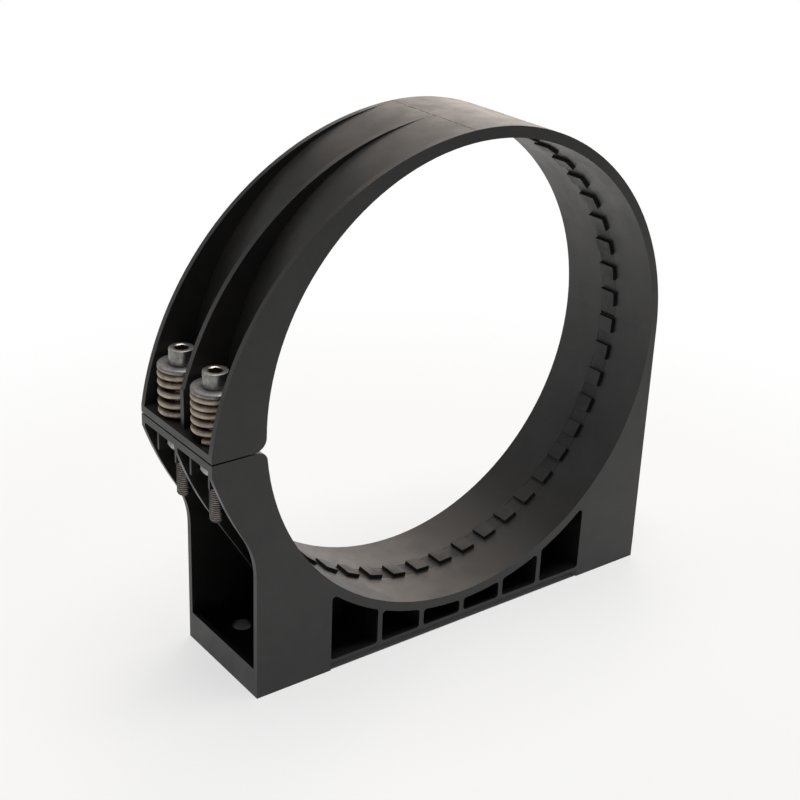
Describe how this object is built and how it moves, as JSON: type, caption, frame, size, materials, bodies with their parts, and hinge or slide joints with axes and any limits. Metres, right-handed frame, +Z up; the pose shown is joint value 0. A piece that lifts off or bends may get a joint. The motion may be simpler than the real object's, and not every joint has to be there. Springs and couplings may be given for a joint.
{
  "type": "pipe mounting clamp",
  "caption": "Saddle clamp for a large pipe: a ribbed plastic ring on box feet, with rubber grip pads in its bore and a sprung screw closure at the side.",
  "frame": {"origin": "on the pipe's axis, at mid width of the ring", "axes": "+X along the base away from the screws, +Y along the pipe, +Z up from the feet"},
  "size_m": [0.3645, 0.087, 0.3521],
  "materials": {
    "black_plastic": "moulded black, fine satin grain",
    "grip_rubber": "matt black",
    "plated_screw": "zinc plated, satin",
    "plated_washer": "zinc plated, satin",
    "spring_wire": "warm passivated zinc",
    "plated_nut": "zinc plated"
  },
  "bodies": {
    "base": {"saddle_base": "black_plastic", "base_grip_strip": "grip_rubber", "front_nut": "plated_nut", "back_nut": "plated_nut"},
    "strap": {"clamping_strap": "black_plastic", "strap_grip_strip": "grip_rubber", "front_spring": "spring_wire", "back_spring": "spring_wire"},
    "front_washer_set": {"front_washer": "plated_washer"},
    "front_screw": {"front_cap_screw": "plated_screw"},
    "back_washer_set": {"back_washer": "plated_washer"},
    "back_screw": {"back_cap_screw": "plated_screw"}
  },
  "joints": [
    {"name": "strap_flex", "type": "hinge", "parent": "base", "child": "strap", "pos_m": [0.16565, 0, 0], "axis": [0, 1, 0], "range_deg": [0, 1.15], "stiffness_Nm_per_rad": 400, "deforming": ["front_spring", "back_spring"]},
    {"name": "front_screw_feed", "type": "slide", "parent": "base", "child": "front_washer_set", "axis": [0, 0, 1], "range_m": [0, 0.0405]},
    {"name": "front_screw_turn", "type": "hinge", "parent": "front_washer_set", "child": "front_screw", "pos_m": [-0.181, -0.0204, 0], "axis": [0, 0, 1], "range_deg": [0, 9720]},
    {"name": "back_screw_feed", "type": "slide", "parent": "base", "child": "back_washer_set", "axis": [0, 0, 1], "range_m": [0, 0.0405]},
    {"name": "back_screw_turn", "type": "hinge", "parent": "back_washer_set", "child": "back_screw", "pos_m": [-0.181, 0.0204, 0], "axis": [0, 0, 1], "range_deg": [0, 9720]}
  ],
  "couplings": [
    {"joint": "front_screw_turn", "follows": "front_screw_feed", "rad_per_m": 4188.8},
    {"joint": "back_screw_turn", "follows": "back_screw_feed", "rad_per_m": 4188.8}
  ]
}
